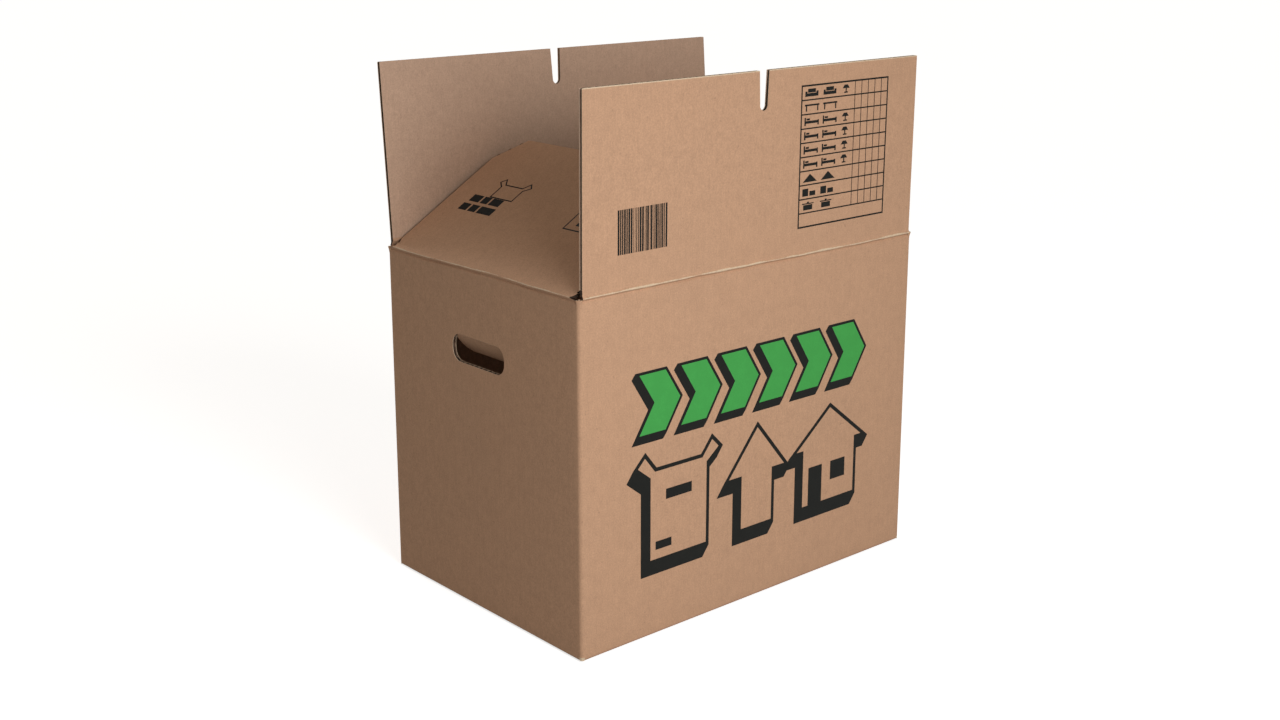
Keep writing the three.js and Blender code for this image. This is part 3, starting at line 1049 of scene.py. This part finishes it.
class MOVINGBOX_OT_tongues(Operator):
    """The cut-out pieces of the hand holes, pushed in about their upper edge"""
    bl_idname = "moving_box.tongues"
    bl_label = "Hand hole tongues"

    def execute(self, context):
        size = sizes()
        radius = size.hole_radius - TONGUE_GAP
        half = size.hole_width / 2 - TONGUE_GAP
        drop = size.hole_height - TONGUE_GAP
        top = CREASE - size.hole_drop + size.hole_height / 2
        arcs = radius * (1 - np.cos(np.linspace(0, pi / 2, 8)))
        vs = np.concatenate([arcs, drop - arcs[::-1]])
        turn = size.tongue_angle

        def edge(v):
            """Half the tongue's width at v below its hinge: rounded by its corner radius at both ends."""
            near = np.minimum(v, drop - v)
            past = np.clip(radius - near, 0, radius)
            return half - radius + np.sqrt(np.maximum(0, radius**2 - past**2))

        sheet = tensor(np.linspace(-1, 1, 91), vs, lambda t, v: (t * edge(v), v))
        for side, name in ((-1, "left"), (1, "right")):
            def place(u, v, w):
                """Hangs from the hinge line, turned inwards by the tongue's angle, and curls."""
                depth = w - HINGE_DEPTH + TONGUE_CURL * (v / drop) ** 2
                inward = HINGE_DEPTH + v * sin(turn) + depth * cos(turn)
                return side * (HALF_LENGTH - inward), u * -side, top - v * cos(turn) + depth * sin(turn)
            parts = layers(sheet, place, sheet)
            tongue = make_piece(name + "_hand_hole_tongue", parts, board_materials("y"), "carton")
            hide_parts("carton_body")
        return {"FINISHED"}


# Glue tab: its width, the slant and inset of its ends, its thickness, how far it sinks in the back
# panel's liner, and how far its fold reaches in the end panel
TAB_REACH = 35 * MM
TAB_SLANT = 12 * MM
TAB_THICKNESS = 3.6 * MM
TAB_SINK = 0.1 * MM
TAB_ROOT = 1 * MM


class MOVINGBOX_OT_glue_tab(Operator):
    """Glue tab of the right end panel, stuck to the inside of the back panel"""
    bl_idname = "moving_box.glue_tab"
    bl_label = "Glue tab"

    def execute(self, context):
        size = sizes()
        low = 2 * size.board + FOLD_SLACK + TAB_SLANT
        high = CREASE - size.board - TAB_SLANT
        fold = HALF_LENGTH - size.board + TAB_ROOT
        lie = HALF_WIDTH - size.board

        def place(t, v, w):
            """Trapezium: v is squeezed towards the free edge by the slant, and w is thinner at the fold."""
            height = low + TAB_SLANT * t + v * (high - low - 2 * TAB_SLANT * t)
            return fold - TAB_REACH * t, lie - w * (1 - 0.3 * (1 - t)), height

        sheet = tensor(np.linspace(0, 1, 12), np.linspace(0, 1, 30))
        parts = [(slab(sheet, place, -TAB_SINK, TAB_THICKNESS), INNER, CUT)]
        tab = make_piece("glue_tab", parts, board_materials("x"), "carton")
        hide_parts("carton_body")
        return {"FINISHED"}


class MOVINGBOX_OT_top_flaps(Operator):
    """The four top flaps, each of two liners with the waved medium between them"""
    bl_idname = "moving_box.top_flaps"
    bl_label = "Top flaps"

    def execute(self, context):
        size = sizes()
        fine = size.pitch / 8
        for key, flap in FLAPS.items():
            if flap["long"]:
                sheet, medium, outer = long_flap_sheet(LINER_STEP), long_flap_sheet(fine), None
            else:
                sheet, medium = end_flap_sheet(LINER_STEP), end_medium_sheet(fine)
                # The end flap's outer liner is drawn in, so that the dark medium shows along its edges as
                # painted shade
                outer = end_flap_sheet(LINER_STEP, DARK_EDGE_INSET)
            phase = size.pitch / 4 if key == "front" else 0.0
            # Past rim the long flaps' outer liners take a pale colour: a painted highlight along their top
            # edges
            rim = size.flap - HIGHLIGHT_RIM if flap["long"] else None
            parts = layers(sheet, place_flap(key), medium, phase, rim, outer)
            across = board_materials("x" if flap["long"] else "y")
            piece = make_piece(flap["node"] + "_board", parts, across, flap["body"])
            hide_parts(flap["node"])
        return {"FINISHED"}


class MOVINGBOX_OT_creases(Operator):
    """The pressed creases between the walls and the top flaps, built where the flaps stand now"""
    bl_idname = "moving_box.creases"
    bl_label = "Top creases"

    def execute(self, context):
        for key, flap in FLAPS.items():
            band, on_flap, on_wall = crease_band(key)
            across = board_materials("x" if flap["long"] else "y")
            # The band's cut sides take the medium's dark colour: painted shade in the notches at the band's
            # ends
            piece = make_piece(key + "_crease_band", [(band, OUTER, CORE)], across, None, BAND_EDGE)
            tuple(on_wall)
            tuple(on_flap)
            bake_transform(piece)
        return {"FINISHED"}


# Depths between which a print lies, just out of the board's outer face and just in it
PRINT_OUT = -0.10 * MM
PRINT_IN = 0.06 * MM


def front_place(x, z, w):
    """A point of the front panel, given from the middle of the panel and the floor."""
    return place_wall(x + wall_layout()[0] / 2, z, w)


def make_print(name, sheets, place, shade, body):
    """Thin slabs of ink on a face of the board."""
    parts = [(slab(sheet, place, PRINT_OUT, PRINT_IN), OUTER, OUTER) for sheet in sheets]
    make_piece(name, parts, [material_for("ink_" + shade)], body)


# Prints, in mm from the middle of a panel or flap, and from the floor or the crease. Shadows are shifts
# of a shape to the left and down.
CHEVRON_LEFT = -168
CHEVRON_PITCH = 56.5
CHEVRON_LINE = 3.0 * MM
CHEVRON_SHADOW = np.array([-5, -6]) * MM
SHAPE_LINE = 4.2 * MM
SHAPE_SHADOW = np.array([-9, -12]) * MM


def upper_shapes():
    """Six green shapes in a row, chevrons that point to the right."""
    return [chevron(CHEVRON_LEFT + k * CHEVRON_PITCH, 221, 35, 63, 20) for k in range(6)]


def lower_shapes():
    """Three large outlines, each with the openings inside it: an open carton, an arrow and a house."""
    return [
        (open_carton(-170, 84, 112, 112, 17),
         [box_outline(-132, 146, -96, 157), box_outline(-146, 94, -124, 103)]),
        (block_arrow(-42, 84, 84, 110, 46, 50), []),
        (house(62, 84, 106, 108, 42, 11), [box_outline(82, 84, 104, 128), box_outline(118, 106, 142, 128)]),
    ]


class MOVINGBOX_OT_front_print(Operator):
    """Print on the front panel: a row of green chevrons over an open carton, an arrow and a house"""
    bl_idname = "moving_box.front_print"
    bl_label = "Front print"

    def execute(self, context):
        green, black = [], []
        for shape in upper_shapes():
            green.append(filled([shape]))
            black.append(filled(swept(grown(shape, CHEVRON_LINE), CHEVRON_SHADOW), [shape]))
        for shape, openings in lower_shapes():
            black.append(filled(swept(grown(shape, SHAPE_LINE), SHAPE_SHADOW), [shape]))
            black += [filled([opening]) for opening in openings]
        make_print("front_green_print", green, front_place, "green", "carton")
        make_print("front_black_print", black, front_place, "black", "carton")
        return {"FINISHED"}


def row_symbols(row, x, y):
    """Simple furniture of a row of the table, about 22 by 9 mm, from rectangles and triangles, and a
    lamp."""
    bar = lambda x0, y0, x1, y1: box_outline(x + x0, y + y0, x + x1, y + y1)
    bed = [bar(0, 0, 2, 8.6), bar(2, 2.2, 22, 5.0), bar(20, 0, 22, 5.6), bar(3, 5.6, 8, 7.6)]
    seat = [bar(0, 0.6, 3, 6), bar(3, 0.6, 17, 4), bar(17, 0.6, 20, 6), bar(4, 4.6, 16, 8.6)]
    table = [bar(0, 5.6, 22, 7.4), bar(1.5, 0, 3.3, 5.6), bar(18.7, 0, 20.5, 5.6)]
    roof = [np.array([[x, y], [x + 22, y], [x + 11, y + 8.6]]) * MM]
    crate = [bar(0, 0, 9, 8), bar(11, 0, 20, 5)]
    pot = [bar(2, 0, 16, 5.6), bar(0, 6.2, 18, 7.4), bar(7.6, 7.4, 10.4, 8.8)]
    shade = np.array([[x + 1, y + 5], [x + 12, y + 5], [x + 9, y + 8.8], [x + 4, y + 8.8]]) * MM
    lamp = [bar(3.6, 0, 9.6, 1.4), bar(5.8, 1.4, 7.4, 5), shade]
    return [seat, table, bed, bed, bed, bed, roof, crate, pot][row], lamp


# Table of rooms: its sides, its rows, the width of its names' column and its columns of boxes to tick.
# Half the widths of its lines: the frame, between rows, and between boxes.
TABLE = (56, 29, 192, 179)
TABLE_ROWS = 10
NAMES_SHARE = 0.61
TICK_COLUMNS = 5
FRAME_LINE = 0.9
ROW_LINE = 0.7
COLUMN_LINE = 0.45
LAMP_ROWS = (0, 2, 3, 4, 5)

# Block of upright bars: its left and right end, its foot and its top
BARS = (-196, -131, 36, 80)
BAR_COUNT = 27


def table_lines():
    """Lines of the table: two thick sides, a line under each row, and the sides of the boxes."""
    left, low, right, high = TABLE
    row_height = (high - low) / TABLE_ROWS
    names_end = left + NAMES_SHARE * (right - left)
    tick = (right - names_end) / TICK_COLUMNS
    lines = [box_outline(x - FRAME_LINE, low - FRAME_LINE, x + FRAME_LINE, high + FRAME_LINE)
             for x in (left, right)]
    for row in range(TABLE_ROWS + 1):
        y, half = low + row * row_height, FRAME_LINE if row in (0, TABLE_ROWS) else ROW_LINE
        lines.append(box_outline(left, y - half, right, y + half))
    for x in names_end + tick * np.arange(TICK_COLUMNS):
        lines.append(box_outline(x - COLUMN_LINE, low + row_height, x + COLUMN_LINE, high))
    return lines


class MOVINGBOX_OT_flap_print(Operator):
    """Print on the front flap: a table of rooms with boxes to tick, and a block of upright bars"""
    bl_idname = "moving_box.flap_print"
    bl_label = "Flap print"

    def execute(self, context):
        place = place_flap("front")
        left, low, _, high = TABLE
        row_height = (high - low) / TABLE_ROWS
        symbols = []
        for row in range(TABLE_ROWS - 1):
            y = high - (row + 1) * row_height + 3
            symbols += row_symbols(row, left + 5, y)[0] + row_symbols(row, left + 33, y)[0]
            symbols += row_symbols(row, left + 62, y)[1] if row in LAMP_ROWS else []
        sheets = [filled(table_lines())] + [filled([shape]) for shape in symbols]
        make_print("flap_table_print", sheets, place, "black", "front_top_flap")

        draw = np.random.default_rng(7)
        widths = draw.choice([0.9, 1.6, 2.4, 3.2], BAR_COUNT)
        gaps = draw.choice([0.9, 1.3, 1.9], BAR_COUNT)
        starts = np.concatenate([[0], np.cumsum(widths + gaps)])
        begin, end, foot, top = BARS
        scale = (end - begin) / starts[-1]
        sheets = [filled([box_outline(begin + start * scale, foot, begin + (start + width) * scale, top)])
                  for start, width in zip(starts, widths)]
        make_print("flap_bar_print", sheets, place, "black", "front_top_flap")
        return {"FINISHED"}


# Mark on the left end flap: its corner, its blocks as (x, y, width) from there, and their height
MARK_CORNER = (-123, 76)
MARK_BLOCKS = ((0, 0, 14), (17, 0, 13), (33, 0, 25), (3, 15, 17), (23, 15, 12), (38, 15, 18))
MARK_BLOCK_HEIGHT = 11
MARK_LINE = 1.6 * MM


class MOVINGBOX_OT_end_print(Operator):
    """Print on the outside of the left end flap: rows of blocks under an open carton, and a second
    carton with an arrow"""
    bl_idname = "moving_box.end_print"
    bl_label = "End flap print"

    def execute(self, context):
        left, low = MARK_CORNER
        sheets = [filled([box_outline(left + x, low + y, left + x + width, low + y + MARK_BLOCK_HEIGHT)])
                  for x, y, width in MARK_BLOCKS]
        for shape in (open_carton(left + 22, low + 28, 52, 28, 8), open_carton(46, 84, 48, 44, 8)):
            sheets.append(filled([grown(shape, MARK_LINE)], [shape]))
        sheets.append(filled([block_arrow(61, 90, 18, 26, 8, 12)]))
        make_print("end_flap_print", sheets, place_flap("left"), "black", "left_top_flap")
        return {"FINISHED"}


class MOVINGBOX_OT_stage(Operator):
    """Pale floor, soft studio light and the camera"""
    bl_idname = "moving_box.stage"
    bl_label = "Stage"

    def execute(self, context):
        make_floor()
        make_world()
        make_sun("distant_key", azimuth=2.0, elevation=22.0, spread=24.0, strength=0.60)
        make_sun("low_back_light", azimuth=180.0, elevation=13.0, spread=20.0, strength=1.1)
        make_lamp("near_softbox", (-0.46, -1.34, 0.70), target=(-0.06, -0.16, 0.20), width=0.7, watts=9.8)
        make_camera()
        bpy.context.scene.view_settings.view_transform = "Standard"
        return {"FINISHED"}


def seen_directly(tree):
    """1 on rays from the camera, a mirror or glass, and 0 on others."""
    path = put(tree, "ShaderNodeLightPath").outputs
    both = arithmetic(tree, "MAXIMUM", path["Is Camera Ray"], path["Is Glossy Ray"])
    return arithmetic(tree, "MAXIMUM", both, path["Is Transmission Ray"])


# Floor: half its side, its depth under the box, its colour to the camera and as it lights the box, and
# the light added to it for the camera
FLOOR_HALF = 12.0
FLOOR_DROP = 0.4 * MM
FLOOR_WHITE = 0.72
FLOOR_DIM = 0.42
FLOOR_FILL = 0.71


def make_floor():
    """Flat floor just below height 0. Rays from the camera see it white, with the object's shadow kept."""
    edges = steps(-FLOOR_HALF, FLOOR_HALF, 1.0)
    points, faces = tensor(edges, edges)
    mesh = bpy.data.meshes.new("floor")
    points = np.column_stack([points, np.full(len(points), -FLOOR_DROP)])
    mesh.from_pydata(points.tolist(), [], faces.tolist())
    material, tree, bsdf = shader("floor_white")
    tree.nodes.remove(bsdf)
    seen = seen_directly(tree)
    grey = arithmetic(tree, "MULTIPLY_ADD", seen, FLOOR_WHITE - FLOOR_DIM, FLOOR_DIM)
    grey_colour = put(tree, "ShaderNodeCombineXYZ", {0: grey, 1: grey, 2: grey})
    diffuse = put(tree, "ShaderNodeBsdfDiffuse", {"Color": grey_colour.outputs[0]})
    lift = put(tree, "ShaderNodeEmission", {"Strength": arithmetic(tree, "MULTIPLY", seen, FLOOR_FILL)})
    both = put(tree, "ShaderNodeAddShader", {0: diffuse.outputs[0], 1: lift.outputs[0]})
    tree.links.new(both.outputs[0], tree.nodes["Material Output"].inputs["Surface"])
    mesh.materials.append(material)
    linked("floor", mesh)


# Strength and tone of the world's light on the object
WORLD_FILL = 0.29
FILL_TONE = (1.0, 0.92, 0.82)


def make_world():
    """White where it is seen, and a dim even fill for everything that it lights."""
    world = bpy.data.worlds.new("studio")
    world.use_nodes = True
    tree = world.node_tree
    seen = seen_directly(tree)
    strength = arithmetic(tree, "MULTIPLY_ADD", seen, 1 - WORLD_FILL, WORLD_FILL)
    warm = [arithmetic(tree, "MULTIPLY_ADD", seen, 1 - tone, tone) for tone in FILL_TONE]
    tint = put(tree, "ShaderNodeCombineXYZ", {0: warm[0], 1: warm[1], 2: warm[2]})
    background = tree.nodes["Background"]
    tree.links.new(tint.outputs[0], background.inputs["Color"])
    tree.links.new(strength, background.inputs["Strength"])
    bpy.context.scene.world = world


def make_sun(name, azimuth, elevation, spread, strength):
    """Distant soft lamp. Azimuth, elevation and the angle that it fills in the sky are in degrees, from
    the front panel's own direction towards +X."""
    lamp = bpy.data.lights.new(name, "SUN")
    lamp.energy = strength
    lamp.angle = radians(spread)
    linked(name, lamp).rotation_euler = Euler((radians(90 - elevation), 0, radians(azimuth)))


def make_lamp(name, position, target, width, watts):
    """Round soft lamp that faces a target."""
    lamp = bpy.data.lights.new(name, "AREA")
    lamp.shape = "DISK"
    lamp.size = width
    lamp.energy = watts
    holder = linked(name, lamp)
    holder.location = position
    holder.rotation_euler = (Vector(target) - Vector(position)).to_track_quat("-Z", "Y").to_euler()


# Camera: where it stands, seen from its target, and the photograph's focal length, centre and size in
# pixels
CAMERA_AZIMUTH = radians(-40.810)
CAMERA_ELEVATION = radians(13.642)
CAMERA_ROLL = radians(-0.149)
CAMERA_DISTANCE = 1.7716
CAMERA_TARGET = (-0.05090, 0.0, 0.32259)
FOCAL_PIXELS = 1606.6
CENTRE_PIXEL = (620, 290)
IMAGE_SIZE = (1280, 720)
SENSOR = 36.0


def make_camera():
    """Camera at the photograph's place: back = (sin a cos e, -cos a cos e, sin e) from the target, with
    a small shift for the photograph's crop, and a small roll."""
    back = Vector((sin(CAMERA_AZIMUTH) * cos(CAMERA_ELEVATION), -cos(CAMERA_AZIMUTH) * cos(CAMERA_ELEVATION),
                   sin(CAMERA_ELEVATION)))
    right = (-back).cross(Vector((0, 0, 1))).normalized()
    up = right.cross(-back)
    rolled_right = cos(CAMERA_ROLL) * right + sin(CAMERA_ROLL) * up
    rolled_up = cos(CAMERA_ROLL) * up - sin(CAMERA_ROLL) * right
    turn = Matrix((rolled_right, rolled_up, back)).transposed().to_4x4()
    data = bpy.data.cameras.new("camera")
    data.sensor_width = SENSOR
    data.lens = FOCAL_PIXELS * SENSOR / IMAGE_SIZE[0]
    data.shift_x = (IMAGE_SIZE[0] / 2 - CENTRE_PIXEL[0]) / IMAGE_SIZE[0]
    data.shift_y = (CENTRE_PIXEL[1] - IMAGE_SIZE[1] / 2) / IMAGE_SIZE[0]
    camera = linked("camera", data)
    camera.matrix_world = Matrix.Translation(Vector(CAMERA_TARGET) + back * CAMERA_DISTANCE) @ turn
    bpy.context.scene.camera = camera


class MOVINGBOX_PT_panel(Panel):
    """Sizes, colours and building steps of the moving box"""
    bl_idname = "MOVINGBOX_PT_panel"
    bl_label = "Moving Box"
    bl_space_type = "VIEW_3D"
    bl_region_type = "UI"
    bl_category = "Moving Box"

    def draw(self, context):
        for settings in (context.scene.moving_box_sizes, context.scene.moving_box_colours):
            for name in settings.bl_rna.properties.keys():
                if name not in ("rna_type", "name"):
                    self.layout.prop(settings, name)
        for operator in OPERATORS:
            self.layout.operator(operator.bl_idname)


OPERATORS = (MOVINGBOX_OT_walls, MOVINGBOX_OT_bottom_flaps, MOVINGBOX_OT_tongues, MOVINGBOX_OT_glue_tab,
             MOVINGBOX_OT_top_flaps, MOVINGBOX_OT_creases, MOVINGBOX_OT_front_print, MOVINGBOX_OT_flap_print,
             MOVINGBOX_OT_end_print, MOVINGBOX_OT_stage)
CLASSES = (MovingBoxSizes, MovingBoxColours) + OPERATORS + (MOVINGBOX_PT_panel,)


def register():
    for item in CLASSES:
        bpy.utils.register_class(item)
    bpy.types.Scene.moving_box_sizes = PointerProperty(type=MovingBoxSizes)
    bpy.types.Scene.moving_box_colours = PointerProperty(type=MovingBoxColours)


def unregister():
    del bpy.types.Scene.moving_box_colours
    del bpy.types.Scene.moving_box_sizes
    for item in reversed(CLASSES):
        bpy.utils.unregister_class(item)


def main():
    register()
    bpy.ops.moving_box.walls()
    bpy.ops.moving_box.bottom_flaps()
    bpy.ops.moving_box.tongues()
    bpy.ops.moving_box.glue_tab()
    bpy.ops.moving_box.top_flaps()
    bpy.ops.moving_box.creases()
    bpy.ops.moving_box.front_print()
    bpy.ops.moving_box.flap_print()
    bpy.ops.moving_box.end_print()
    bpy.ops.moving_box.stage()


if __name__ == "__main__":
    main()
